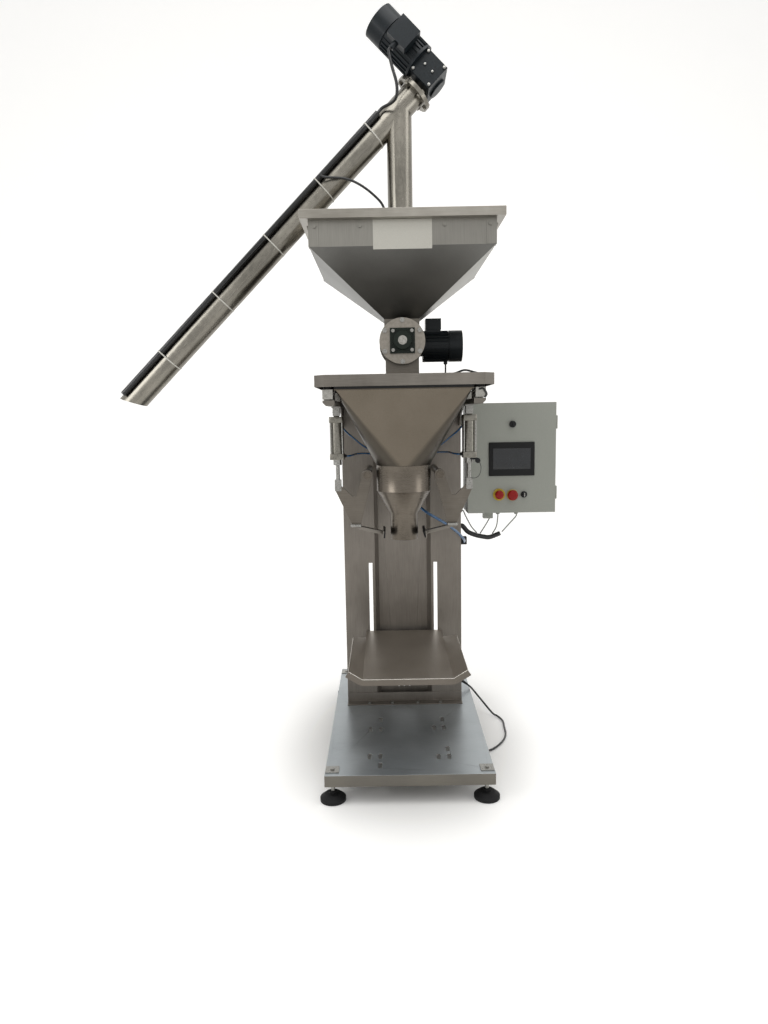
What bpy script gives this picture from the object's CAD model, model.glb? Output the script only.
# %% [markdown]
# # Sack filling machine
# A screw conveyor lifts the product into a hopper, a rotary valve meters it, and a funnel on four
# load cells weighs it. The sack hangs on the spout between two clamp jaws and stands on the tray.
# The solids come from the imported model. This lesson gives them their finishes, and rebuilds the
# pieces that need finer shapes.

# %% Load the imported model
import math

import bmesh
import bpy
from mathutils import Matrix, Vector, geometry


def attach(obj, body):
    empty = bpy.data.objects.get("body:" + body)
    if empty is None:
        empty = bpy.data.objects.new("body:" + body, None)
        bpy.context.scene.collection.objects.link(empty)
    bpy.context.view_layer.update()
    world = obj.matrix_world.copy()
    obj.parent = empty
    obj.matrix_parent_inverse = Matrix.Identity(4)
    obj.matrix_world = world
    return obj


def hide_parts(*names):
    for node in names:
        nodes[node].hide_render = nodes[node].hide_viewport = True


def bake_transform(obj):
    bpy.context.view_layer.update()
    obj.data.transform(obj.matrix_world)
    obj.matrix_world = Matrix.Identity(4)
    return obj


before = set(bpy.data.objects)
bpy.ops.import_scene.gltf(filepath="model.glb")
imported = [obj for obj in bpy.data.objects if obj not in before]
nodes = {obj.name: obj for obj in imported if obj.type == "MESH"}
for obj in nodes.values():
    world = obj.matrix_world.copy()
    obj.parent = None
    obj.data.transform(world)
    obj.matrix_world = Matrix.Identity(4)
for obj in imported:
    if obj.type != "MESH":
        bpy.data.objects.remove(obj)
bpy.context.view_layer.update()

# %% [markdown]
# ## Camera
# The photograph was taken from chest height with a wide lens, tilted a little down. Its place and
# angles were solved from the straight edges of the base, the tray, the hopper and the panel. A
# matrix of the three camera directions is surer here than three Euler angles.

# %% Camera
LENS_MM, SENSOR_MM, SIGHT_M = 25.29, 36, 60
CAMERA_AT = Vector((-0.0721, -2.9223, 1.4684))
PITCH_YAW_ROLL = (7.65, -0.20, -1.02)
pitch, yaw, roll = (math.radians(angle) for angle in PITCH_YAW_ROLL)
ahead = Vector((math.sin(yaw) * math.cos(pitch), math.cos(yaw) * math.cos(pitch), -math.sin(pitch)))
level = ahead.cross(Vector((0, 0, 1))).normalized()
upright = level.cross(ahead)
right = level * math.cos(roll) + upright * math.sin(roll)
top = right.cross(ahead)
camera_data = bpy.data.cameras.new("photo_camera")
camera_data.lens = LENS_MM
camera_data.sensor_width = SENSOR_MM
camera_data.clip_end = SIGHT_M
camera = bpy.data.objects.new("photo_camera", camera_data)
bpy.context.scene.collection.objects.link(camera)
camera.matrix_world = Matrix.Translation(CAMERA_AT) @ Matrix((right, top, -ahead)).transposed().to_4x4()
bpy.context.scene.camera = camera
print("camera at", tuple(round(v, 3) for v in CAMERA_AT))

# %% [markdown]
# ## Light
# A pale room with soft light. The world is white where the camera, metal and glass look at it, and
# dimmer as a lamp, so that colours come out as they are written. Three large soft lamps give the
# sheet metal its bright and dark sides.

# %% World and lamps
def add(tree, kind, links=(), **settings):
    """Adds one node. A setting is a property, or in_NAME for an input socket by name or number."""
    node = tree.nodes.new(kind)
    for key, value in settings.items():
        if key.startswith("in_"):
            name = key[3:]
            node.inputs[int(name) if name.isdigit() else name.replace("_", " ")].default_value = value
        else:
            setattr(node, key, value)
    for source, target in links:
        tree.links.new(source, node.inputs[target])
    return node


WORLD_AS_LAMP, WORLD_AS_SEEN = 0.42, 0.97
scene = bpy.context.scene
scene.view_settings.view_transform = "Standard"
world = bpy.data.worlds.new("pale_room")
scene.world = world
world.use_nodes = True
sky = world.node_tree
sky.nodes.clear()
path = add(sky, "ShaderNodeLightPath")
seen = add(sky, "ShaderNodeMath", [(path.outputs["Is Camera Ray"], 0), (path.outputs["Is Glossy Ray"], 1)],
           operation="MAXIMUM")
seen = add(sky, "ShaderNodeMath", [(seen.outputs[0], 0), (path.outputs["Is Transmission Ray"], 1)],
           operation="MAXIMUM")
lamp_part = add(sky, "ShaderNodeBackground", in_Color=(1, 1, 1, 1), in_Strength=WORLD_AS_LAMP)
seen_part = add(sky, "ShaderNodeBackground", in_Color=(1, 0.995, 0.985, 1), in_Strength=WORLD_AS_SEEN)
mixed = add(sky, "ShaderNodeMixShader",
            [(seen.outputs[0], 0), (lamp_part.outputs[0], 1), (seen_part.outputs[0], 2)])
add(sky, "ShaderNodeOutputWorld", [(mixed.outputs[0], "Surface")])


def soft_lamp(name, place, target, size, watts):
    data = bpy.data.lights.new(name, "AREA")
    data.shape = "RECTANGLE"
    data.size, data.size_y = size
    data.energy = watts
    lamp = bpy.data.objects.new(name, data)
    scene.collection.objects.link(lamp)
    lamp.location = place
    lamp.rotation_mode = "QUATERNION"
    lamp.rotation_quaternion = (Vector(target) - Vector(place)).to_track_quat("-Z", "Y")


soft_lamp("ceiling_panel", (0.3, -1.2, 4.6), (0, 0.2, 1.2), (3.2, 2.4), 70)
soft_lamp("left_window", (-3.4, -2.4, 2.6), (0, 0.2, 1.3), (1.8, 2.4), 48)
soft_lamp("right_fill", (3.6, -1.6, 2.0), (0, 0.3, 1.2), (1.6, 2.2), 22)

# %% [markdown]
# ## Floor and backdrop
# A pale floor that turns up into a pale wall in one smooth curve. A line is rounded with a bevel
# and extruded to the side, so there is no edge behind the machine. The cloth glows a little, except
# round the machine, so it is white in the picture and still shows the soft shadow of the base.

# %% Floor
def finish_mesh(name, mesh_builder, material, smooth):
    """Makes an object of a bmesh, and smooths what is flatter than the angle in degrees."""
    mesh = bpy.data.meshes.new(name)
    mesh_builder.to_mesh(mesh)
    mesh_builder.free()
    thing = bpy.data.objects.new(name, mesh)
    scene.collection.objects.link(thing)
    mesh.materials.append(material)
    mesh.polygons.foreach_set("use_smooth", [True] * len(mesh.polygons))
    mesh.set_sharp_from_angle(angle=math.radians(smooth))
    return thing


def points_of(grown):
    """The points among what an extrude gives back."""
    return [v for v in grown["geom"] if isinstance(v, bmesh.types.BMVert)]


def linear(hex_colour):
    """An sRGB hex colour as the linear values that a shader reads, with full alpha."""
    parts = [int(hex_colour[i:i + 2], 16) / 255 for i in (1, 3, 5)]
    return tuple(c / 12.92 if c <= 0.04045 else ((c + 0.055) / 1.055) ** 2.4 for c in parts) + (1.0,)


def blank_finish(name):
    material = bpy.data.materials.new(name)
    material.use_nodes = True
    return material, material.node_tree, material.node_tree.nodes["Principled BSDF"]


CLOTH_HALF, CLOTH_FRONT, WALL_AT, WALL_TOP, FLOOR_Z, BEND = 9, -7, 4.2, 8, -0.002, 2.2
GLOW_NEAR, GLOW_FAR, GLOW_LOW, GLOW_HIGH = 0.6, 1.5, 0.02, 0.42
cloth = bmesh.new()
side_line = ((CLOTH_FRONT, FLOOR_Z), (WALL_AT, FLOOR_Z), (WALL_AT, WALL_TOP))
corner = [cloth.verts.new((-CLOTH_HALF, y, z)) for y, z in side_line]
for i in (0, 1):
    cloth.edges.new(corner[i:i + 2])
bmesh.ops.bevel(cloth, geom=[corner[1]], affect="VERTICES", offset=BEND, segments=24, profile=0.5,
                material=-1)
strip = bmesh.ops.extrude_edge_only(cloth, edges=cloth.edges[:])
bmesh.ops.translate(cloth, vec=(2 * CLOTH_HALF, 0, 0), verts=points_of(strip))
bmesh.ops.recalc_face_normals(cloth, faces=cloth.faces[:])
backdrop_paint, tree, shader = blank_finish("pale_backdrop_paint")
paint = shader.inputs
paint["Base Color"].default_value = linear("#ecebe8")
paint["Roughness"].default_value = 0.7
paint["Specular IOR Level"].default_value = 0.15
paint["Emission Color"].default_value = (1, 1, 1, 1)
where = add(tree, "ShaderNodeTexCoord")
reach = add(tree, "ShaderNodeMapping", [(where.outputs["Object"], "Vector")],
            in_Location=(0, -0.3, 0), in_Scale=(2.2, 1.4, 0))
away = add(tree, "ShaderNodeVectorMath", [(reach.outputs[0], 0)], operation="LENGTH")
glow = add(tree, "ShaderNodeMapRange", [(away.outputs["Value"], "Value")], interpolation_type="SMOOTHSTEP",
           in_1=GLOW_NEAR, in_2=GLOW_FAR, in_3=GLOW_LOW, in_4=GLOW_HIGH)
tree.links.new(glow.outputs[0], paint["Emission Strength"])
backdrop = finish_mesh("studio_backdrop", cloth, backdrop_paint, smooth=40)
print("backdrop faces:", len(backdrop.data.polygons))

# %% [markdown]
# ## Sheet metal
# Most of the machine is brushed stainless steel sheet. Brushing leaves long fine scratches. Two
# noise textures do this: one is squeezed across the grain for the scratches, which are drawn some
# 1.5 mm wide so that they show, and one is a broad cloud for handling marks.

# %% Brushed steel
CLOUD_SHARE, SCRATCH_RELIEF, MARK_RELIEF = 0.62, 0.12, 0.05


def place_on(tree, scale=(1, 1, 1)):
    """The piece's own object coordinates, scaled for a pattern."""
    where = add(tree, "ShaderNodeTexCoord")
    return add(tree, "ShaderNodeMapping", [(where.outputs["Object"], "Vector")], in_Scale=scale).outputs[0]


def ramp(tree, value, dark, light, low=0.3, high=0.7):
    """A colour between two hex colours as a value goes from low to high."""
    node = add(tree, "ShaderNodeValToRGB", [(value, "Fac")])
    node.color_ramp.elements[0].position = low
    node.color_ramp.elements[1].position = high
    node.color_ramp.elements[0].color = linear(dark)
    node.color_ramp.elements[1].color = linear(light)
    return node.outputs["Color"]


def noise(tree, scale, detail, rough, stretch=(1, 1, 1)):
    """A cloudy value over the piece, stretched along x, y and z."""
    return add(tree, "ShaderNodeTexNoise", [(place_on(tree, stretch), "Vector")],
               in_Scale=scale, in_Detail=detail, in_Roughness=rough).outputs["Fac"]


def bump(tree, height, strength, distance, links=()):
    return add(tree, "ShaderNodeBump", [(height, "Height"), *links], in_Strength=strength,
               in_Distance=distance)


def finish_with(tree, shader, colour, rough, metallic):
    tree.links.new(colour, shader.inputs["Base Color"])
    tree.links.new(rough, shader.inputs["Roughness"])
    shader.inputs["Metallic"].default_value = metallic


def spread(tree, value, low, high, start=0.3, stop=0.7):
    """A number between low and high as a value goes from start to stop."""
    return add(tree, "ShaderNodeMapRange", [(value, "Value")],
               in_1=start, in_2=stop, in_3=low, in_4=high).outputs[0]


def sheet_pattern(tree, grain, patch, patch_rough):
    """Fine scratches, broad marks and a mix of the two. Grain is how stretched the scratches are
    along x, y and z: small along them."""
    scratch = noise(tree, 1, 3, 0.65, grain)
    cloud = noise(tree, 1, 4, patch_rough, patch)
    both = add(tree, "ShaderNodeMix", [(scratch, 2), (cloud, 3)], data_type="FLOAT", in_0=CLOUD_SHARE)
    return scratch, cloud, both.outputs[0]


def brushed_steel(name, dark, light, grain, rough=(0.26, 0.42), metallic=1.0):
    material, tree, shader = blank_finish(name)
    scratch, cloud, both = sheet_pattern(tree, grain, (5, 5, 3), 0.6)
    finish_with(tree, shader, ramp(tree, both, dark, light, 0.36, 0.64), spread(tree, both, *rough), metallic)
    fine = bump(tree, scratch, SCRATCH_RELIEF, 0.0002)
    broad = bump(tree, cloud, MARK_RELIEF, 0.01, [(fine.outputs[0], "Normal")])
    tree.links.new(broad.outputs[0], shader.inputs["Normal"])
    return material


upright_grain, level_grain, depth_grain = (650, 650, 14), (14, 650, 650), (650, 14, 650)
round_grain, tube_grain = (40, 40, 650), (40, 650, 40)
steel_level = brushed_steel("brushed_stainless_level", "#67635d", "#837e77", level_grain)
steel_lid = brushed_steel("brushed_stainless_lid", "#858179", "#a39f97", level_grain)
steel_lever = brushed_steel("brushed_stainless_lever", "#5a554e", "#746e66", level_grain, rough=(0.3, 0.44))
steel_round = brushed_steel("turned_stainless", "#554f47", "#716a61", round_grain, rough=(0.22, 0.34))
steel_tube = brushed_steel("drawn_stainless_tube", "#6d6a63", "#8d8980", tube_grain, rough=(0.2, 0.32))
steel_column = brushed_steel("brushed_stainless_column", "#69645d", "#827c75", upright_grain,
                             rough=(0.36, 0.5), metallic=0.75)
bright_rim = brushed_steel("ground_bright_rim", "#c4c0b8", "#dcd9d2", level_grain, rough=(0.2, 0.3))
steel_valve = brushed_steel("brushed_stainless_valve", "#56524c", "#706b64", round_grain, rough=(0.3, 0.44))
print("steel finishes:", len([m for m in bpy.data.materials if "stainless" in m.name]))

# %% [markdown]
# ## Sheet in two tones
# The upright collar of the hopper faces the room and is bright. The tapered front leans over and
# is dark, while the slanted side to the right is bright again. The front of the weigh funnel is
# brighter than its turned sides. The base and the tray are bright on top, where they look at the
# ceiling, and warm and dark at their edges. Each tone is its own pair of colours, and a mix by
# height or by the direction of the face picks the pair, so it holds from every side.

# %% Two-tone finishes
COLLAR_FOOT = 2.052


def two_tone(name, mask, plain, dark, grain, rough=(0.3, 0.46), metallic=1.0):
    """Mask takes the node tree and gives a value that is 1 where the darker pair of colours goes."""
    material, tree, shader = blank_finish(name)
    both = sheet_pattern(tree, grain, (4, 4, 3), 0.5)[2]
    tone = add(tree, "ShaderNodeMix", [(mask(tree), 0), (ramp(tree, both, *plain), 6),
                                       (ramp(tree, both, *dark), 7)], data_type="RGBA")
    finish_with(tree, shader, tone.outputs[2], spread(tree, both, *rough), metallic)
    return material


def part_of(tree, output, axis):
    """One part of the object coordinate, or of the direction of the face."""
    where = add(tree, "ShaderNodeTexCoord")
    return add(tree, "ShaderNodeSeparateXYZ", [(where.outputs[output], 0)]).outputs[axis]


def less_than(tree, part, value):
    return add(tree, "ShaderNodeMath", [(part, 0)], operation="LESS_THAN", in_1=value).outputs[0]


def leaning_front(tree):
    """1 on the hopper under its collar, except where the face looks well to the right."""
    below = less_than(tree, part_of(tree, "Object", "Z"), COLLAR_FOOT)
    ahead_or_left = less_than(tree, part_of(tree, "Normal", "X"), 0.4)
    return add(tree, "ShaderNodeMath", [(below, 0), (ahead_or_left, 1)], operation="MULTIPLY").outputs[0]


def upright_edge(tree):
    """1 where the face doesn't look up."""
    return less_than(tree, part_of(tree, "Normal", "Z"), 0.5)


def turned_aside(tree):
    """0 where the face looks ahead or back, and 1 where it looks well to a side."""
    size = add(tree, "ShaderNodeMath", [(part_of(tree, "Normal", "X"), 0)], operation="ABSOLUTE")
    return spread(tree, size.outputs[0], 0, 1, 0.03, 0.24)


funnel_steel = two_tone("brushed_stainless_funnel", turned_aside, ("#5d564c", "#756d62"),
                        ("#433e38", "#57524a"), upright_grain, rough=(0.26, 0.4))
two_tone_hopper = two_tone("brushed_stainless_two_tone", leaning_front, ("#777570", "#94928b"),
                           ("#62625f", "#797875"), upright_grain)
steel_tray = two_tone("brushed_stainless_tray", upright_edge, ("#7f776d", "#9b9389"),
                      ("#5e5850", "#736c64"), depth_grain, rough=(0.34, 0.46), metallic=0.7)
steel_base = two_tone("polished_stainless_base", upright_edge, ("#878d91", "#b2b8bb"),
                      ("#5e5b56", "#767269"), (16, 650, 650), rough=(0.26, 0.4), metallic=0.72)
print("two-tone finishes:", 4)

# %% [markdown]
# ## Other metals
# Zinc plated screws and rods are whiter and finely mottled, and the anodised barrels of the clamp
# cylinders are grayer. A cast motor is under thick enamel with a slight orange peel.

# %% Plated, anodised and enamelled metal
def fine_metal(name, dark, light, size_mm, rough, metallic=1.0, relief=0.05, coat=0.0):
    """A metal or paint whose pattern has grains of size_mm."""
    material, tree, shader = blank_finish(name)
    grains = noise(tree, 1000 / size_mm, 3, 0.6)
    finish_with(tree, shader, ramp(tree, grains, dark, light), spread(tree, grains, *rough), metallic)
    tree.links.new(bump(tree, grains, relief, 0.0005).outputs[0], shader.inputs["Normal"])
    shader.inputs["Coat Weight"].default_value = coat
    return material


zinc_plate = fine_metal("zinc_plated_steel", "#7d7c78", "#a3a29e", 6, (0.24, 0.4))
nickel_cell = fine_metal("nickel_plated_cell", "#8f8d88", "#acaaa4", 9, (0.22, 0.34))
anodised = fine_metal("clear_anodised_aluminium", "#6d6b64", "#88857d", 8, (0.26, 0.38))
rolled_plate = fine_metal("bare_rolled_aluminium", "#aba9a1", "#b7b5ad", 3, (0.36, 0.46))
valve_disc = fine_metal("machined_cover_steel", "#827d74", "#98928a", 12, (0.36, 0.5))
motor_enamel = fine_metal("dark_motor_enamel", "#0c1114", "#161d21", 5, (0.34, 0.46), 0.0, 0.22, 0.05)
bearing_enamel = fine_metal("dark_green_bearing_enamel", "#101711", "#1b251e", 4, (0.38, 0.5), 0.0, 0.25, 0.0)
panel_powder = fine_metal("light_gray_powder_coat", "#868880", "#92948c", 2.5, (0.42, 0.52), 0.0, 0.3)
seal_paint = fine_metal("black_seal_paint", "#121212", "#1e1e1f", 6, (0.5, 0.62), 0.0, 0.2)

# %% [markdown]
# ## Rubber, plastic and cable sheath
# Rubber is dull and slightly dusty, moulded plastic has a fine even texture, and cable sheath has
# a soft gloss. All are non-metals with an index near 1.5.

# %% Moulded finishes
def moulded(name, dark, light, size_mm, rough, relief=0.1, coat=0.0, ior=1.5):
    material = fine_metal(name, dark, light, size_mm, rough, 0.0, relief, coat)
    material.node_tree.nodes["Principled BSDF"].inputs["IOR"].default_value = ior
    return material


foot_rubber = moulded("black_foot_rubber", "#101011", "#1f1f20", 5, (0.6, 0.8), 0.3, ior=1.52)
jaw_rubber = moulded("black_jaw_rubber", "#0d0d0d", "#191919", 3, (0.55, 0.7), 0.3, ior=1.52)
black_moulding = moulded("black_abs_moulding", "#101112", "#1b1c1e", 2, (0.34, 0.46), 0.12)
red_cap = moulded("red_button_cap", "#780905", "#8e0d09", 3, (0.26, 0.36), 0.05, 0.1)
yellow_ring = moulded("yellow_button_collar", "#a98f2c", "#bda33c", 3, (0.34, 0.44), 0.08)
screen_bezel = moulded("black_screen_bezel", "#070808", "#0d0e0f", 2, (0.34, 0.44), 0.1)
screen_glass = moulded("dark_display_glass", "#191b1e", "#1f2225", 40, (0.16, 0.22), 0.0)
sheath_black = moulded("black_cable_sheath", "#0e0f10", "#1a1b1c", 4, (0.3, 0.42), 0.08)
sheath_gray = moulded("gray_cable_sheath", "#8f918d", "#a7a9a5", 4, (0.36, 0.48), 0.06)
hose_blue = moulded("blue_polyurethane_hose", "#173f63", "#245a86", 5, (0.18, 0.28), 0.04, 0.3)
pale_tie = moulded("pale_nylon_tie", "#b4b2aa", "#c9c7bf", 4, (0.4, 0.52), 0.06)
duct_black = moulded("glossy_black_conduit", "#0b0c0d", "#151617", 6, (0.16, 0.26), 0.06, 0.5)
DULL = 0.22
for finish in (motor_enamel, bearing_enamel, black_moulding, screen_bezel, red_cap, foot_rubber, jaw_rubber,
               yellow_ring):
    finish.node_tree.nodes["Principled BSDF"].inputs["Specular IOR Level"].default_value = DULL
print("finishes in all:", len(bpy.data.materials))

# %% [markdown]
# ## Finish of every solid
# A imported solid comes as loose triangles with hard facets. One modifier joins its points and shades
# it smooth across shallow angles, which leaves the mesh itself alone. A bevel on folded sheet gives
# its edges the thin bright line that light catches on a real edge.

# %% Soften the solids and give each its finish
SMOOTH_BELOW, BEVEL_ABOVE = math.radians(32), math.radians(50)
soften = bpy.data.node_groups.new("soften_solid", "GeometryNodeTree")
soften.interface.new_socket("Geometry", in_out="INPUT", socket_type="NodeSocketGeometry")
soften.interface.new_socket("Geometry", in_out="OUTPUT", socket_type="NodeSocketGeometry")
entry = add(soften, "NodeGroupInput")
joined = add(soften, "GeometryNodeMergeByDistance", [(entry.outputs[0], "Geometry")], in_Distance=2e-6)
whole = add(soften, "GeometryNodeSetShadeSmooth", [(joined.outputs[0], "Geometry")])
angle = add(soften, "GeometryNodeInputMeshEdgeAngle")
sharp = add(soften, "FunctionNodeCompare", [(angle.outputs["Unsigned Angle"], "A")],
            data_type="FLOAT", operation="LESS_THAN", in_B=SMOOTH_BELOW)
shaded = add(soften, "GeometryNodeSetShadeSmooth",
             [(whole.outputs[0], "Geometry"), (sharp.outputs[0], "Shade Smooth")], domain="EDGE")
add(soften, "NodeGroupOutput", [(shaded.outputs[0], 0)])


def dress(names, material, edge_mm=0.0):
    """Gives each named solid its finish, softened, and bevelled where a width is given."""
    for name in names.split():
        solid = nodes[name]
        solid.data.materials.clear()
        solid.data.materials.append(material)
        solid.modifiers.new("soften", "NODES").node_group = soften
        if edge_mm:
            edge = solid.modifiers.new("edge", "BEVEL")
            edge.width = edge_mm / 1000
            edge.segments = 2
            edge.limit_method = "ANGLE"
            edge.angle_limit = BEVEL_ABOVE
            edge.harden_normals = True


dress("base_pan rear_deck foot_blocks", steel_base, 0.8)
dress("foot_pads", foot_rubber, 1.0)
dress("foot_spindles foot_nuts foot_bolts cover_bolts tray_bolts rod_r rod_l", zinc_plate)
dress("cylinder_hangers", zinc_plate, 0.5)
dress("column column_foot", steel_column, 0.8)
dress("support_arms top_pan", steel_level, 0.8)
dress("load_cells", nickel_cell, 0.5)
dress("load_feet", foot_rubber)
dress("hopper_lid", steel_lid, 0.8)
dress("funnel_frame", seal_paint)
dress("weigh_funnel", funnel_steel)
dress("funnel_collar filling_spout pivot_posts auger_shaft auger_flight", steel_round)
dress("conveyor_tube conveyor_end", steel_tube)
dress("valve_housing", steel_valve)
dress("valve_rotor", nickel_cell)
dress("valve_covers", valve_disc, 0.6)
dress("flange_bearing", bearing_enamel, 0.8)
dress("valve_gearbox valve_motor conveyor_gearbox conveyor_motor", motor_enamel, 1.0)
dress("hopper hopper_trim", two_tone_hopper)
dress("name_plate", rolled_plate)
dress("conveyor_conduit", duct_black)
dress("clamp_lever_r clamp_lever_l clamp_jaw_r clamp_jaw_l", steel_lever, 0.5)
dress("cylinder_r cylinder_l", anodised, 0.5)
dress("air_hoses_r air_hoses_l", hose_blue)
dress("tray", steel_tray, 0.9)
dress("enclosure enclosure_door", panel_powder, 0.8)
dress("operator_screen", screen_bezel, 1.0)
dress("stop_button push_button", red_cap, 0.8)
dress("selector_knob latch_knob", black_moulding, 0.6)
dress("control_cables mains_cord mains_coil mains_plug", sheath_black)
print("dressed nodes:", sum(bool(n.data.materials) for n in nodes.values()))

# %% [markdown]
# ## Cables and hoses
# A cable is a round section that follows a smooth line. The routes are the ones of the packed
# model, as points in millimetres, so each cable stays where its solid is. A curve with a bevel
# depth is the quickest round tube, and a line drawn through the points keeps its bends smooth.
# The makers of turned, rounded and joined pieces stand here too, as all later cells use them.

# %% Smooth tube through points
def smooth_line(points_mm, steps=8):
    """A Catmull-Rom curve through the points, in metres."""
    p = [Vector(q) / 1000 for q in points_mm]
    last = len(p) - 1
    line = []
    for i in range(last):
        a, b, c, d = p[max(i - 1, 0)], p[i], p[i + 1], p[min(i + 2, last)]
        for k in range(steps):
            t = k / steps
            line.append(0.5 * (2 * b + (c - a) * t + (2 * a - 5 * b + 4 * c - d) * t * t
                               + (3 * b - a - 3 * c + d) * t ** 3))
    return line + [p[-1]]


def tube(name, line, radius_mm, material, sides=3):
    curve = bpy.data.curves.new(name, "CURVE")
    curve.dimensions = "3D"
    spline = curve.splines.new("POLY")
    spline.points.add(len(line) - 1)
    for point, at in zip(spline.points, line):
        point.co = (*at, 1)
    curve.bevel_depth = radius_mm / 1000
    curve.bevel_resolution = sides
    curve.fill_mode = "FULL"
    curve.use_fill_caps = True
    spline.use_smooth = True
    curve.materials.append(material)
    thing = bpy.data.objects.new(name, curve)
    scene.collection.objects.link(thing)
    return thing


def select_only(things):
    bpy.ops.object.select_all(action="DESELECT")
    for thing in things:
        thing.select_set(True)
    bpy.context.view_layer.objects.active = things[0]


def solid_tube(name, line, radius_mm, material, sides=3):
    """The same tube as a mesh."""
    thing = tube(name, line, radius_mm, material, sides)
    select_only([thing])
    bpy.ops.object.convert(target="MESH")
    return thing


POINTING = {"Z": Matrix(), "-Z": Matrix.Rotation(math.pi, 4, "X"),
            "Y": Matrix.Rotation(math.radians(-90), 4, "X"), "-Y": Matrix.Rotation(math.radians(90), 4, "X"),
            "X": Matrix.Rotation(math.radians(90), 4, "Y")}


def seated(shape, at_mm, along):
    """Turns a shape that was made upright so that its height points along, and sets it down."""
    bmesh.ops.transform(shape, matrix=Matrix.Translation(Vector(at_mm) / 1000) @ POINTING[along],
                        verts=shape.verts[:])


def bridge(shape, rings):
    """Faces between each ring of points and the next."""
    for a, b in zip(rings, rings[1:]):
        for k in range(len(a)):
            n = (k + 1) % len(a)
            shape.faces.new((a[k], a[n], b[n], b[k]))
    bmesh.ops.recalc_face_normals(shape, faces=shape.faces[:])


def rounded(shape, edges, width_mm, segments=2):
    bmesh.ops.bevel(shape, geom=edges, affect="EDGES", offset=width_mm / 1000, segments=segments,
                    profile=0.5, material=-1)


def revolved(name, profile_mm, material, at=(0, 0, 0), along="Z", segments=64):
    """Spins a profile of (radius, height) points round its axis."""
    shape = bmesh.new()
    rim = [shape.verts.new((r / 1000, 0, h / 1000)) for r, h in profile_mm]
    lines = [shape.edges.new(rim[i:i + 2]) for i in range(len(rim) - 1)]
    bmesh.ops.spin(shape, geom=rim + lines, cent=(0, 0, 0), axis=(0, 0, 1), angle=math.tau,
                   steps=segments, use_merge=True)
    bmesh.ops.remove_doubles(shape, verts=shape.verts[:], dist=1e-6)
    bmesh.ops.recalc_face_normals(shape, faces=shape.faces[:])
    seated(shape, at, along)
    return finish_mesh(name, shape, material, 32)


def box_between(low_mm, high_mm):
    shape = bmesh.new()
    bmesh.ops.create_cube(shape, size=1)
    low, high = Vector(low_mm) / 1000, Vector(high_mm) / 1000
    bmesh.ops.scale(shape, vec=high - low, verts=shape.verts[:])
    bmesh.ops.translate(shape, vec=(low + high) / 2, verts=shape.verts[:])
    return shape


def block(name, low_mm, high_mm, material, edge_mm):
    """A block between two corners with rounded edges."""
    shape = box_between(low_mm, high_mm)
    rounded(shape, shape.edges[:], edge_mm, 3)
    return finish_mesh(name, shape, material, 30)


def bolted(name, at_mm, flats_mm, high_mm, along):
    """A hexagon head with its chamfered top, seated at a point."""
    shape = bmesh.new()
    radius = flats_mm / math.sqrt(3) / 1000
    bmesh.ops.create_cone(shape, cap_ends=True, segments=6, radius1=radius, radius2=radius,
                          depth=high_mm / 1000)
    bmesh.ops.translate(shape, vec=(0, 0, high_mm / 2000), verts=shape.verts[:])
    upper = [e for e in shape.edges if all(v.co.z > high_mm / 1500 for v in e.verts)]
    rounded(shape, upper, high_mm / 7)
    seated(shape, at_mm, along)
    return finish_mesh(name, shape, zinc_plate, 30)


def joined_as(name, things):
    """Joins several made pieces into one, keeping their finishes."""
    select_only(things)
    bpy.ops.object.join()
    things[0].name = name
    return things[0]


def moved(thing, matrix):
    thing.data.transform(matrix)
    if matrix.determinant() < 0:
        thing.data.flip_normals()
    thing.data.update()
    return thing


def stands_for(thing, body, slot, *solids):
    """The piece rides on a body, takes a slot's finish and hides the solids it stands for."""
    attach(thing, body)
    if solids:
        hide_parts(*solids)

# %% [markdown]
# ## Mains cord
# The free cord leaves a gland low on the column, drops to the floor, loops out to the right as in
# the photograph, runs back under the base and ends behind it in a neat coil with its plug. It is
# one open curve. Its boot is a second tube round the first few centimetres, thick at the gland and
# thin at its end, as a moulded bend relief is.

# %% Mains cord, boot and plug
CORD_MM = 9.0
CORD_POINTS = [(280.1, 500, 157), (290, 500, 157), (326, 498, 130), (350, 488, 104), (392, 462, 56),
               (430, 440, 14), (452, 425, 5), (468, 372, 5), (465, 305, 5), (457, 218, 5), (425, 138, 5),
               (362, 66, 5), (296, 74, 5), (244, 160, 5), (212, 300, 5), (186, 470, 5), (158, 640, 5),
               (122, 790, 5), (109, 880, 5), (109, 930, 5)]
COIL_X, COIL_Y, COIL_R, CORD_Z, RISE, TURNS, COIL_STEPS = 60, 930, 49.0, 5, 9.3, 3.5, 24
PLUG_X, PLUG_Y, PLUG_Z, PIN_Y, PIN_APART = -8, 829, 16, 810.5, 9
BOOT_POINTS, BOOT_WIDE, BOOT_TAPER = 14, 2.1, 0.95
coil_line = []
for k in range(1, int(TURNS * COIL_STEPS) + 1):
    way = math.tau * k / COIL_STEPS
    coil_line.append((COIL_X + COIL_R * math.cos(way), COIL_Y + COIL_R * math.sin(way),
                      CORD_Z + RISE * k / COIL_STEPS))
TAIL = [(10, 915, 36.5), (4, 900, 29), (-3, 888, 20), (PLUG_X, 877.5, PLUG_Z)]
cord_line = smooth_line(CORD_POINTS)[:-1]
cord_line += [Vector(p) / 1000 for p in coil_line]
cord_line += smooth_line([coil_line[-1]] + TAIL)[1:]
mains_cord = tube("mains_cord_curve", cord_line, CORD_MM / 2, sheath_black, sides=3)
boot_line = cord_line[:BOOT_POINTS]
boot = tube("mains_cord_boot", boot_line, CORD_MM / 2, black_moulding, sides=3)
for k, point in enumerate(boot.data.splines[0].points):
    point.radius = BOOT_WIDE - BOOT_TAPER * k / (BOOT_POINTS - 1)
stands_for(mains_cord, "frame", "cable_black", "mains_cord", "mains_coil")
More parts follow.
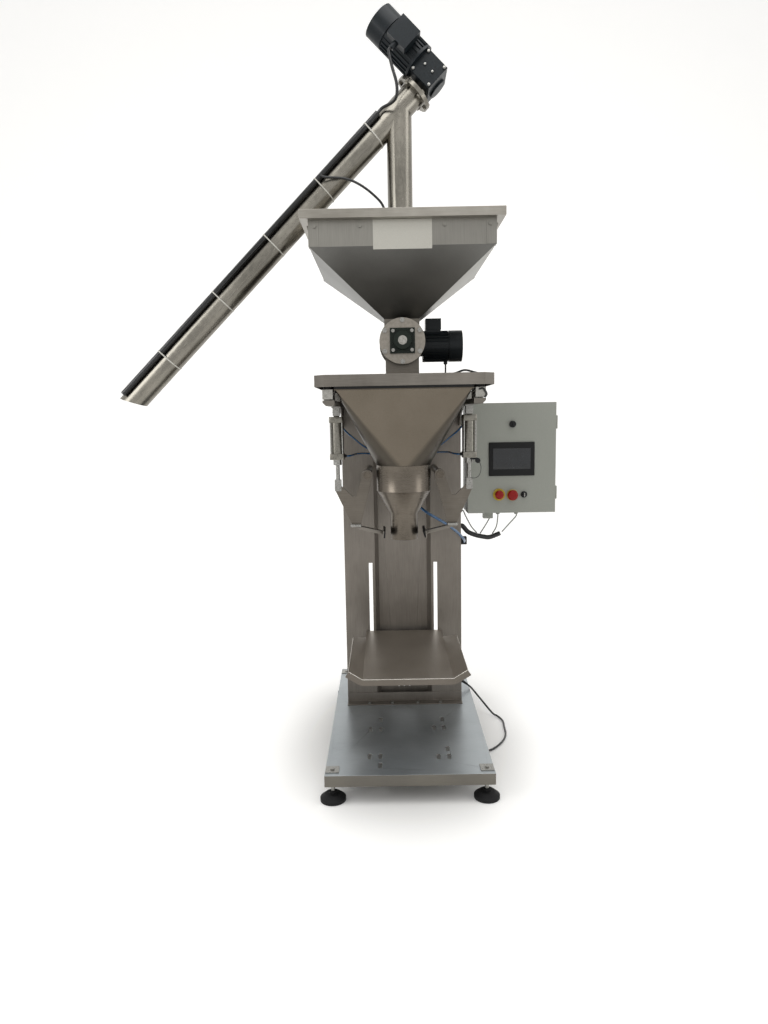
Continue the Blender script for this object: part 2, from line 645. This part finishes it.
stands_for(boot, "frame", "black_plastic")
PIN = [(0, 0), (1.2, 0), (2.3, 2), (2.3, 19), (0, 19)]
plug = joined_as("mains_plug_body", [
    revolved("plug_barrel", [(0, 0), (12.5, 0), (15.8, 6), (15.8, 30), (12.5, 42), (8, 48), (0, 48)],
             black_moulding, at=(PLUG_X, PLUG_Y, PLUG_Z), along="Y", segments=40),
    revolved("plug_pin_a", PIN, zinc_plate, at=(PLUG_X - PIN_APART, PIN_Y, PLUG_Z), along="Y", segments=16),
    revolved("plug_pin_b", PIN, zinc_plate, at=(PLUG_X + PIN_APART, PIN_Y, PLUG_Z), along="Y", segments=16)])
stands_for(plug, "frame", "black_plastic", "mains_plug")

# %% [markdown]
# ## Cables held at both ends
# A black bundle under the panel with its pale gray leads, the thick blue hose to the column's
# right side, and the thin leads of the valve motor, the pan and a load cell.

# %% Cables, hoses and their glands
BUNDLE = [(278.1, 450, 942), (288, 450, 942), (313, 450, 914), (346, 450, 899), (382, 450, 890),
          (417, 450, 887), (465, 450, 905)]
PANEL_LEADS = [
    [(284.1, 450, 1015), (291, 450, 1015), (303, 452, 988), (330, 458, 938), (356, 462, 907)],
    [(420, 450, 996.9), (420, 450, 988), (400, 458, 948), (372, 462, 903)],
    [(454, 450, 996.9), (454, 450, 980), (448, 456, 935), (430, 462, 901)],
    [(540, 450, 996.9), (540, 450, 985), (507, 450, 948), (474, 450, 911)]]
BLUE_HOSE = [(60, 389.9, 1080), (60, 372, 1080), (62, 300, 1084), (67, 180, 1078), (102, 135, 1052),
             (149, 150, 1022), (195, 200, 987), (238, 260, 949), (274, 322, 908), (286, 362, 888),
             (287, 382, 880), (287, 399.9, 880)]
VALVE_LEAD = [(186, 150, 1675.9), (186, 150, 1662), (184, 130, 1636), (182, 95, 1621), (180, 60, 1619)]
PAN_LEAD = [(170, -60, 1619.3), (205, -98, 1626), (239, -101, 1636), (275, -100, 1628), (310, -80, 1619.3)]
CELL_LEAD = [(274, -259, 1558), (288, -262, 1560), (298, -263, 1548), (301, -262, 1537), (294, -259, 1528)]
BLACK_CABLES = [("bundle", BUNDLE, 11, 4), ("valve_lead", VALVE_LEAD, 3.5, 3), ("pan_lead", PAN_LEAD, 4, 3),
                ("cell_lead", CELL_LEAD, 3.5, 3)]
black_leads = joined_as("held_black_cables", [
    solid_tube(name, smooth_line(route), radius, sheath_black, sides)
    for name, route, radius, sides in BLACK_CABLES])
stands_for(black_leads, "frame", "cable_black", "control_cables")
gray_leads = joined_as("panel_leads", [
    solid_tube("lead", smooth_line(route), 3, sheath_gray) for route in PANEL_LEADS])
stands_for(gray_leads, "frame", "cable_black")
stands_for(tube("blue_air_hose", smooth_line(BLUE_HOSE), 6, hose_blue, 4), "frame", "hose_blue")
COLUMN_SIDE = 270
GLANDS = [
    ("bundle_gland", [(0, 0), (15, 0), (15, 3), (13.5, 4), (13.5, 6.5), (12, 8), (0, 8)], 450, 942),
    ("lead_gland", [(0, 0), (10, 0), (10, 5), (8, 7), (8, 12), (6, 14), (0, 14)], 450, 1015),
    ("mains_gland", [(0, 0), (11, 0), (11, 4), (9.6, 5.5), (9.6, 8), (8, 10), (0, 10)], 500, 157)]
gland_parts = [revolved(name, profile, black_moulding, at=(COLUMN_SIDE, y, z), along="X", segments=32)
               for name, profile, y, z in GLANDS]
gland_parts.append(block("hose_block", (COLUMN_SIDE, 400, 862), (302, 430, 898), black_moulding, 1.5))
stands_for(joined_as("column_side_glands", gland_parts), "frame", "black_plastic")
print("held cables:", len(BLACK_CABLES) + len(PANEL_LEADS) + 1)

# %% [markdown]
# ## Air hoses of the clamp cylinders
# The thin blue hoses leave the cylinders, which swing by about a degree as the jaws close, and end
# in holes of the column, which stay still. So each hose bends between the two bodies, which takes
# a mesh without a parent: the curve is turned into one first.

# %% Air hoses
HOSE_UP = [(-267, 38.1, 1452), (-267, 48, 1452), (-257, 66, 1434), (-233, 92, 1402), (-206, 130, 1376),
           (-176, 180, 1347), (-148, 230, 1326), (-118, 310, 1310), (-96, 396, 1304)]
HOSE_DOWN = [(-228.9, 0, 1308), (-220, 0, 1308), (-206, 40, 1309), (-188, 110, 1311), (-140, 190, 1306),
             (-112, 290, 1290), (-96, 396, 1276)]
AIR_HOSE_R = 4
for side, sign in (("l", 1), ("r", -1)):
    routes = [[(sign * x, y, z) for x, y, z in route] for route in (HOSE_UP, HOSE_DOWN)]
    hoses = joined_as(f"blue_air_hoses_{side}",
                      [solid_tube("hose", smooth_line(route), AIR_HOSE_R, hose_blue) for route in routes])
    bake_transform(hoses)
    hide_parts(f"air_hoses_{side}")
print("air hoses: 4")

# %% [markdown]
# ## Cable duct of the conveyor
# A glossy black corrugated conduit lies along the tube in pale nylon ties. A revolved profile with
# a rib every 6 mm gives the real surface, which a bump would lose at the edge of the shape. A
# thinner lead comes out of it for the motor, another for the lid.

# %% Conduit, ties and leads
FEED = Vector((67, 170, 2748))
DOWN = Vector((-math.sqrt(0.5), 0, -math.sqrt(0.5)))
OUT = Vector((-math.sqrt(0.5), 0, math.sqrt(0.5)))
TUBE_RADIUS, DUCT_RADIUS, DUCT_ANGLE = 50.8, 12.5, math.radians(50)
RIB_PITCH, RIB_COUNT, RIB_DEPTH, DUCT_START, DUCT_STOP = 6, 255, 1.3, 165, 1699
TIE_SIDES, TIE_GAP, TIE_THICK, TIE_WIDE = 72, 0.4, 1.0, 5
duct_reach = TUBE_RADIUS + DUCT_RADIUS + 0.3
DUCT_X, DUCT_Y = duct_reach * math.cos(DUCT_ANGLE), -duct_reach * math.sin(DUCT_ANGLE)
on_tube = Matrix((
    (OUT.x, 0, DOWN.x, FEED.x / 1000), (OUT.y, 1, DOWN.y, FEED.y / 1000), (OUT.z, 0, DOWN.z, FEED.z / 1000),
    (0, 0, 0, 1)))


def down_tube(x, y, s):
    """A point s down the conveyor tube, x out of its top and y to the rear of its axis."""
    return tuple(FEED + OUT * x + Vector((0, y, 0)) + DOWN * s)


groove = DUCT_RADIUS - RIB_DEPTH
ribs = [(0, DUCT_START)]
for k in range(RIB_COUNT):
    s = DUCT_START + 1 + RIB_PITCH * k
    ribs += [(groove, s), (DUCT_RADIUS, s + 1.2), (DUCT_RADIUS, s + 3.4), (groove, s + 4.6)]
ribs += [(groove, DUCT_STOP), (0, DUCT_STOP)]
duct = revolved("ribbed_duct", ribs, duct_black, at=(DUCT_X, DUCT_Y, 0), segments=20)
moved(duct, on_tube)
lead_line = [down_tube(139, -143, -9.9), down_tube(139, -143, 2),
             (-22, 24, 2788), (-5, 28, 2728), (-6, 48, 2690), (-24, 84, 2682),
             down_tube(DUCT_X, DUCT_Y, 139), down_tube(DUCT_X, DUCT_Y, 164.9)]
LID_LEAD = [(-312, 103, 2426), (-296, 103, 2416), (-215, 108, 2410), (-155, 110, 2386), (-97, 120, 2345),
            (-63, 130, 2305), (-50, 139, 2240), (-49, 140, 2206), (-49, 140, 2182.4)]
lid_gland = revolved("lid_gland", [(0, 0), (9, 0), (9, 4), (7.6, 5), (7.6, 7), (6, 8), (0, 8)],
                     black_moulding, at=(-49, 140, 2174.3), segments=32)
conduit = joined_as("conveyor_cable_duct", [
    duct, lid_gland, solid_tube("motor_lead", smooth_line(lead_line), 6, sheath_black, 4),
    solid_tube("lid_lead", smooth_line(LID_LEAD), 5, sheath_black, 4)])
stands_for(conduit, "frame", "cable_black", "conveyor_conduit")


def tie(s):
    """One strap round the tube and the duct: their common outline, given a width and a wall."""
    rings = [(radius * math.cos(a) + x, radius * math.sin(a) + y)
             for radius, x, y in ((TUBE_RADIUS + TIE_GAP, 0, 0), (DUCT_RADIUS + TIE_GAP, DUCT_X, DUCT_Y))
             for a in (math.tau * k / TIE_SIDES for k in range(TIE_SIDES))]
    outline = [Vector(rings[k]) for k in geometry.convex_hull_2d([Vector(p) for p in rings])]
    middle = sum(outline, Vector((0, 0))) / len(outline)
    shape = bmesh.new()
    loops = []
    for grow, z in ((0, s), (TIE_THICK, s), (TIE_THICK, s + TIE_WIDE), (0, s + TIE_WIDE)):
        grown = [(p + (p - middle).normalized() * grow) / 1000 for p in outline]
        loops.append([shape.verts.new((*p, z / 1000)) for p in grown])
    bridge(shape, loops + loops[:1])
    return moved(finish_mesh("tie", shape, pale_tie, 40), on_tube)


TIES_AT = (230, 520, 820, 1130, 1460)
stands_for(joined_as("conveyor_duct_ties", [tie(s) for s in TIES_AT]), "frame", "cable_black")
print("ties on the conveyor:", len(TIES_AT))

# %% [markdown]
# ## Collar and spout
# The collar and the spout are rolled sheet, so a fine profile spun round the axis is truer than
# the facets of the solid. Where they are welded there is a low ground bead.

# %% Turned collar and spout
COLLAR_R, SPOUT_R, WALL = 110.0, 56.0, 3.0
COLLAR_LOW, COLLAR_TOP, CONE_LOW, SPOUT_END = 1164.0, 1270.0, 1070.0, 966.0
collar = revolved("turned_collar", [
    (COLLAR_R - WALL, COLLAR_LOW), (COLLAR_R - 0.4, COLLAR_LOW), (COLLAR_R + 0.5, COLLAR_LOW + 1.2),
    (COLLAR_R + 0.5, COLLAR_LOW + 3.4), (COLLAR_R, COLLAR_LOW + 4.6), (COLLAR_R, COLLAR_TOP - 4),
    (COLLAR_R + 0.5, COLLAR_TOP - 2.6), (COLLAR_R + 0.5, COLLAR_TOP - 1), (COLLAR_R - 0.3, COLLAR_TOP),
    (COLLAR_R - WALL, COLLAR_TOP), (COLLAR_R - WALL, COLLAR_LOW)], steel_round, segments=128)
stands_for(collar, "frame", "stainless", "funnel_collar")
spout = revolved("turned_spout", [
    (SPOUT_R - WALL, SPOUT_END + 0.6), (SPOUT_R - 2.4, SPOUT_END), (SPOUT_R - 0.6, SPOUT_END),
    (SPOUT_R, SPOUT_END + 0.6), (SPOUT_R, CONE_LOW - 2), (SPOUT_R + 0.6, CONE_LOW),
    (COLLAR_R - 1.6, COLLAR_LOW - 1.6), (COLLAR_R - 0.4, COLLAR_LOW - 0.2),
    (COLLAR_R - WALL - 0.2, COLLAR_LOW - 0.2), (SPOUT_R - WALL, CONE_LOW), (SPOUT_R - WALL, SPOUT_END + 0.6)],
    steel_round, segments=128)
stands_for(spout, "frame", "stainless", "filling_spout")
print("collar and spout faces:", len(collar.data.polygons) + len(spout.data.polygons))

# %% [markdown]
# ## Clamp jaws
# Each jaw is a pale foot under the lever, an inclined flat bar, an end plate, and a black rubber
# pad whose ribs grip the mouth of the sack. The right one is made and the left one mirrored.

# %% Clamp jaws
JAW_X, JAW_Z, JAW_TILT, JAW_HALF, PAD, EDGE = 78.0, 992.0, math.radians(5), 75, 6.0, 0.8
FOOT_IN, FOOT_OUT, FOOT_LOW = 177.0, 215.0, 1029.0


def mirror_copy(thing, name):
    twin = thing.copy()
    twin.data = thing.data.copy()
    twin.name = name
    scene.collection.objects.link(twin)
    return moved(twin, Matrix.Scale(-1, 4, (1, 0, 0)))


def flat_bar(name, outline_mm, y0, y1, material):
    """An outline of (x, z) points given a width along y, with its edges broken."""
    shape = bmesh.new()
    rim = [shape.verts.new((x / 1000, y0 / 1000, z / 1000)) for x, z in outline_mm]
    face = shape.faces.new(rim)
    grown = bmesh.ops.extrude_face_region(shape, geom=[face])
    bmesh.ops.translate(shape, vec=(0, (y1 - y0) / 1000, 0), verts=points_of(grown))
    bmesh.ops.recalc_face_normals(shape, faces=shape.faces[:])
    rounded(shape, shape.edges[:], EDGE)
    return finish_mesh(name, shape, material, 30)


RIBS_AT = (-11.5, -6.5, -1.5, 3.5, 8.5)
pad_parts = [block("pad_back", (0.8, -JAW_HALF, -13), (PAD, JAW_HALF, 13), jaw_rubber, EDGE)]
pad_parts += [block("pad_rib", (0, 0.5 - JAW_HALF, z), (2, JAW_HALF - 0.5, z + 3), jaw_rubber, EDGE)
              for z in RIBS_AT]
tilt = Matrix.Translation((JAW_X / 1000, 0, JAW_Z / 1000)) @ Matrix.Rotation(-JAW_TILT, 4, "Y")
end_plate = block("jaw_end_plate", (PAD, -JAW_HALF, -15), (PAD + 4, JAW_HALF, 15), steel_level, EDGE)
for part in pad_parts + [end_plate]:
    moved(part, tilt)
bar = flat_bar("jaw_bar", [(FOOT_OUT, FOOT_LOW - 10), (FOOT_IN, FOOT_LOW - 10), (JAW_X + PAD + 4, JAW_Z + 6),
                           (JAW_X + PAD + 4, JAW_Z - 8), (FOOT_IN + 4, FOOT_LOW - 22)], -15, 15, steel_level)
foot = block("jaw_foot", (FOOT_IN, -22, FOOT_LOW - 10), (FOOT_OUT + 4, 22, FOOT_LOW), zinc_plate, 1)
jaw_screw = bolted("jaw_screw", (FOOT_OUT - 6, 0, FOOT_LOW - 10.01), 10, 4, "-Z")
jaw_steel = joined_as("jaw_steel_r", [end_plate, bar, foot, jaw_screw])
jaw_pad = joined_as("jaw_pad_r", pad_parts)
for side, steel, pad in (("l", mirror_copy(jaw_steel, "jaw_steel_l"), mirror_copy(jaw_pad, "jaw_pad_l")),
                         ("r", jaw_steel, jaw_pad)):
    stands_for(steel, f"clamp_{side}", "stainless", f"clamp_jaw_{side}")
    stands_for(pad, f"clamp_{side}", "foot_rubber")
print("jaw pads:", 2)

# %% [markdown]
# ## Tray rims and corners
# The sheet of the tray is folded down at its front, and the folds of the wings meet it in a ground
# weld at each corner. The weld is a small plate that bridges the gap, and each bright rim is a fine
# round bead along the sheet's upper edge.

# %% Tray rims and corner welds
TRAY_TOP, TRAY_HALF, TRAY_FRONT, LIP, SHEET = 466.0, 175.0, 278.0, 25.0, 4.0
WING, WING_RISE, WING_TIP, WING_BACK = 63.5, math.radians(33.4), 6.0, 145.0
TIP_X = TRAY_HALF + WING * math.cos(WING_RISE)
TIP_Z = TRAY_TOP + WING * math.sin(WING_RISE)


def wing_point(along, drop):
    """The (x, z) of a point on the wing: along its slope from the fold, and down square to it."""
    return (TRAY_HALF + along * math.cos(WING_RISE) + drop * math.sin(WING_RISE),
            TRAY_TOP + along * math.sin(WING_RISE) - drop * math.cos(WING_RISE))


def corner_weld(side):
    """The plate between the front lip and the wing, at the right (1) or left (-1) corner."""
    front = -TRAY_FRONT + 0.1
    face = [(TRAY_HALF - 1, TRAY_TOP - 0.5), (TRAY_HALF - 1, TRAY_TOP - LIP)]
    face += [wing_point(3, LIP), wing_point(3, 0.5)]
    shape = bmesh.new()
    loops = [[shape.verts.new((side * x / 1000, y / 1000, z / 1000)) for x, z in face]
             for y in (front, front + SHEET - 0.4)]
    for loop in loops:
        shape.faces.new(loop)
    bridge(shape, loops)
    return finish_mesh("corner_weld", shape, steel_tray, 30)


def bead(name, points_mm, radius_mm):
    return solid_tube(name, [Vector(p) / 1000 for p in points_mm], radius_mm, bright_rim, 2)


BEAD_R = 1.1
rims = []
for side in (-1, 1):
    rims.append(bead("wing_rim", [
        (side * TIP_X, WING_BACK - 4, TIP_Z - 0.3), (side * TIP_X, -TRAY_FRONT - WING_TIP + 1, TIP_Z - 0.3),
        (side * TRAY_HALF, -TRAY_FRONT + 0.4, TRAY_TOP - 0.3)], BEAD_R))
rims.append(bead("front_rim", [
    (side * TRAY_HALF, -TRAY_FRONT + 0.4, TRAY_TOP - 0.3) for side in (-1, 1)], BEAD_R))
tray_trim = joined_as("tray_rims_and_welds", rims + [corner_weld(-1), corner_weld(1)])
stands_for(tray_trim, "tray", "stainless")
print("rims on the tray:", len(rims))

# %% [markdown]
# ## Rim of the base
# The upper edge of the base is ground as well, and shows as a thin bright line at the front.

# %% Base rim
BASE_HALF, BASE_FRONT, BASE_SPLIT, BASE_TOP = 325.0, -360.0, 345.0, 120.0
BASE_BEAD_R, INSET = 1.3, 1.2
side_x, front_y, rim_z = BASE_HALF - INSET, BASE_FRONT + INSET, BASE_TOP - INSET
base_rim = bead("base_rim", [
    (-side_x, BASE_SPLIT, rim_z), (-side_x, front_y, rim_z), (side_x, front_y, rim_z),
    (side_x, BASE_SPLIT, rim_z)], BASE_BEAD_R)
stands_for(base_rim, "frame", "stainless_cool")
print("base rim faces:", len(base_rim.data.polygons))

# %% [markdown]
# ## Screws of the upper gearbox
# Bright plated hexagon screws hold the upper gearbox and catch the light on its black enamel.

# %% Gearbox screws
GEAR_FRONT, GEAR_NEAR, GEAR_FAR, GEAR_HALF, SCREW_IN, MIDDLE_X = -92.0, -25.0, -129.0, 52.0, 9, 20
gear_screws = [((x, GEAR_FRONT, s), 11, 7) for x in (-GEAR_HALF + SCREW_IN, GEAR_HALF - SCREW_IN)
               for s in (GEAR_FAR + SCREW_IN, GEAR_NEAR - SCREW_IN)]
gear_screws += [((x, GEAR_FRONT, (GEAR_FAR + GEAR_NEAR) / 2), 9, 6) for x in (-MIDDLE_X, MIDDLE_X)]
screws = [moved(bolted("gear_screw", at, flats, high, "-Y"), on_tube) for at, flats, high in gear_screws]
stands_for(joined_as("gearbox_screws", screws), "frame", "zinc")
print("gearbox screws:", len(screws))

# %% [markdown]
# ## Clamp cylinders
# A round bright barrel between two square caps with rounded corners, four tie rods, the rod gland
# below and the hanging eye above. The right one also carries a black knob with a thin wire loop.

# %% Clamp cylinders
BARREL_X, HALF = 267.0, 29.0
LOW, HIGH, EYE_Z, CAP = 1294.0, 1466.0, 1484.0, 24.0
CAP_CORNER, CAP_EDGE, BORE, GLAND_R, GLAND_LONG, ROD_HOLE = 7, 1.2, 22, 17, 22, 8.2
TIE_ROD_IN, TIE_ROD_R = 6, 3.6


def cap_block(z0, z1):
    """A square cap with rounded corners and broken edges."""
    shape = box_between((BARREL_X - HALF, -HALF, z0), (BARREL_X + HALF, HALF, z1))
    rounded(shape, [e for e in shape.edges if abs(e.verts[0].co.z - e.verts[1].co.z) > 0.01], CAP_CORNER, 5)
    rounded(shape, [e for e in shape.edges if abs(e.verts[0].co.z - e.verts[1].co.z) < 1e-6], CAP_EDGE)
    return finish_mesh("cylinder_cap", shape, anodised, 30)


def shaft_section(outer, inner, z0, z1, material, segments=48):
    """A round hollow section on the cylinder's axis."""
    return revolved("section", [(inner, z0), (outer - 0.6, z0), (outer, z0 + 0.6), (outer, z1 - 0.6),
                                (outer - 0.6, z1), (inner, z1), (inner, z0)], material,
                    at=(BARREL_X, 0, 0), segments=segments)


cylinder_parts = [
    cap_block(HIGH - CAP, HIGH), cap_block(LOW, LOW + CAP),
    shaft_section(HALF - 3, BORE, LOW + CAP, HIGH - CAP, anodised, 72),
    shaft_section(GLAND_R, ROD_HOLE, LOW - GLAND_LONG, LOW, zinc_plate),
    block("eye_block", (BARREL_X - 11, -11.5, HIGH), (BARREL_X + 11, 11.5, EYE_Z), anodised, 1.2),
    revolved("eye", [(8.1, -11.5), (14.2, -11.5), (15, -10.7), (15, 10.7), (14.2, 11.5), (8.1, 11.5),
                     (8.1, -11.5)], anodised, at=(BARREL_X, 0, EYE_Z), along="Y", segments=40),
    revolved("fitting_up", [(0, 0), (7, 0), (7, 5), (5.6, 6), (5.6, 9.1), (0, 9.1)], black_moulding,
             at=(BARREL_X, HALF, 1452), along="Y", segments=24),
    revolved("fitting_down", [(0, 0), (5.6, 0), (5.6, 3), (7, 4), (7, 9.1), (0, 9.1)], black_moulding,
             at=(228.9, 0, 1308), along="X", segments=24)]
for x in (-1, 1):
    for y in (-1, 1):
        cylinder_parts.append(revolved(
            "tie_rod", [(0, LOW + CAP), (TIE_ROD_R, LOW + CAP), (TIE_ROD_R, HIGH - CAP), (0, HIGH - CAP)],
            zinc_plate, at=(BARREL_X + x * (HALF - TIE_ROD_IN), y * (HALF - TIE_ROD_IN), 0), segments=16))
right_cylinder = joined_as("clamp_cylinder_r_body", cylinder_parts)
left_cylinder = mirror_copy(right_cylinder, "clamp_cylinder_l_body")
stands_for(left_cylinder, "cylinder_l", "cylinder_alloy", "cylinder_l")
WIRE = [(302, -24, 1282), (311, -24, 1262), (311, -24, 1240), (302, -24, 1219), (284, -24, 1211),
        (270, -24, 1213)]
knob = joined_as("clamp_valve_knob", [
    revolved("knob", [(0, 0), (8, 0), (10.5, 1.5), (10.5, 11.5), (9, 14), (0, 14)], black_moulding,
             at=(299, -30, 1282), along="Y", segments=36),
    block("knob_arm", (BARREL_X + 4, -26, 1286), (299, -17.2, 1293), black_moulding, 1),
    solid_tube("wire", smooth_line(WIRE, 6), 1.2, sheath_black, 2)])
stands_for(right_cylinder, "cylinder_r", "cylinder_alloy", "cylinder_r")
stands_for(knob, "cylinder_r", "black_plastic")
print("cylinder faces:", len(left_cylinder.data.polygons))

# %% [markdown]
# ## Operator controls
# Two red mushroom buttons in yellow collars, a black selector, a black latch and a screen with a
# rounded bezel. Caps and collars are turned profiles, so their domes catch a round highlight.

# %% Buttons, collars and knobs
DOOR, PROUD, SHAFT_R, RING_R = 353.0, 0.4, 7.6, 8.1
STOP, PUSH, SELECT, LATCH = (444, 1100), (505, 1097), (558, 1099), (504, 1419)


def round_on_door(name, profile, at, material):
    """A profile of (radius, distance in front of the door face)."""
    return revolved(name, [(r, -h) for r, h in profile], material, at=(at[0], DOOR, at[1]), along="Y",
                    segments=56)


def red_mushroom(name, at, head, node):
    """A button with a domed head of that radius, and its shaft through the door."""
    cap = round_on_door(name, [
        (0, -20), (SHAFT_R, -20), (SHAFT_R, 9.2), (head - 3, 9.8), (head - 0.8, 10.6), (head, 12.4),
        (head, 16.4), (head - 1.2, 19.4), (head - 4.5, 22.2), (head - 10, 23.7), (0, 24)], at, red_cap)
    stands_for(cap, node, "red_plastic", node)


def ring_on_door(name, at, outer, material, slot):
    """A flat collar that stands a hair proud of the solid ring that it covers."""
    outer += PROUD
    ring = round_on_door(name, [(RING_R, -0.1), (outer, -0.1), (outer, 3), (outer - 1.6, 4.4), (9.5, 4.4),
                                (RING_R, 3.2), (RING_R, -0.1)], at, material)
    stands_for(ring, "door", slot)


red_mushroom("stop_mushroom", STOP, 20, "stop_button")
red_mushroom("push_mushroom", PUSH, 24, "push_button")
ring_on_door("stop_collar", STOP, 28, yellow_ring, "red_plastic")
ring_on_door("push_collar", PUSH, 26, yellow_ring, "red_plastic")
ring_on_door("selector_collar", SELECT, 15, black_moulding, "black_plastic")


def grip_knob(name, at, radius, seat, node, grip_finish):
    """A round knob with an upright grip across it, seated that far in front of the door."""
    parts = [round_on_door(name, [(0, -20), (SHAFT_R, -20), (SHAFT_R, seat + 0.6), (radius, seat + 0.6),
                                  (radius, seat + 9), (radius - 1.6, seat + 11.4), (0, seat + 12)],
                           at, black_moulding),
             block("grip", (at[0] - 2.5, DOOR - seat - 16, at[1] - radius + 2),
                   (at[0] + 2.5, DOOR - seat - 9, at[1] + radius - 2), grip_finish, 1)]
    stands_for(joined_as(name, parts), node, "black_plastic", node)


grip_knob("selector_switch", SELECT, 10, 4.3, "selector_knob", zinc_plate)
grip_knob("door_latch", LATCH, 15, 0.3, "latch_knob", black_moulding)
bezel = block("screen_bezel", (397, DOOR - 6, 1185), (605, DOOR - 0.05, 1338), screen_bezel, 2.6)
glass = block("screen_glass", (416, DOOR - 6.8, 1216), (586, DOOR - 5.5, 1310), screen_glass, 0.4)
tail_box = block("screen_housing", (406, DOOR, 1194), (596, DOOR + 40, 1329), screen_bezel, 2)
stands_for(joined_as("operator_display", [bezel, glass, tail_box]), "door", "screen_black", "operator_screen")
print("controls on the door:", 5)
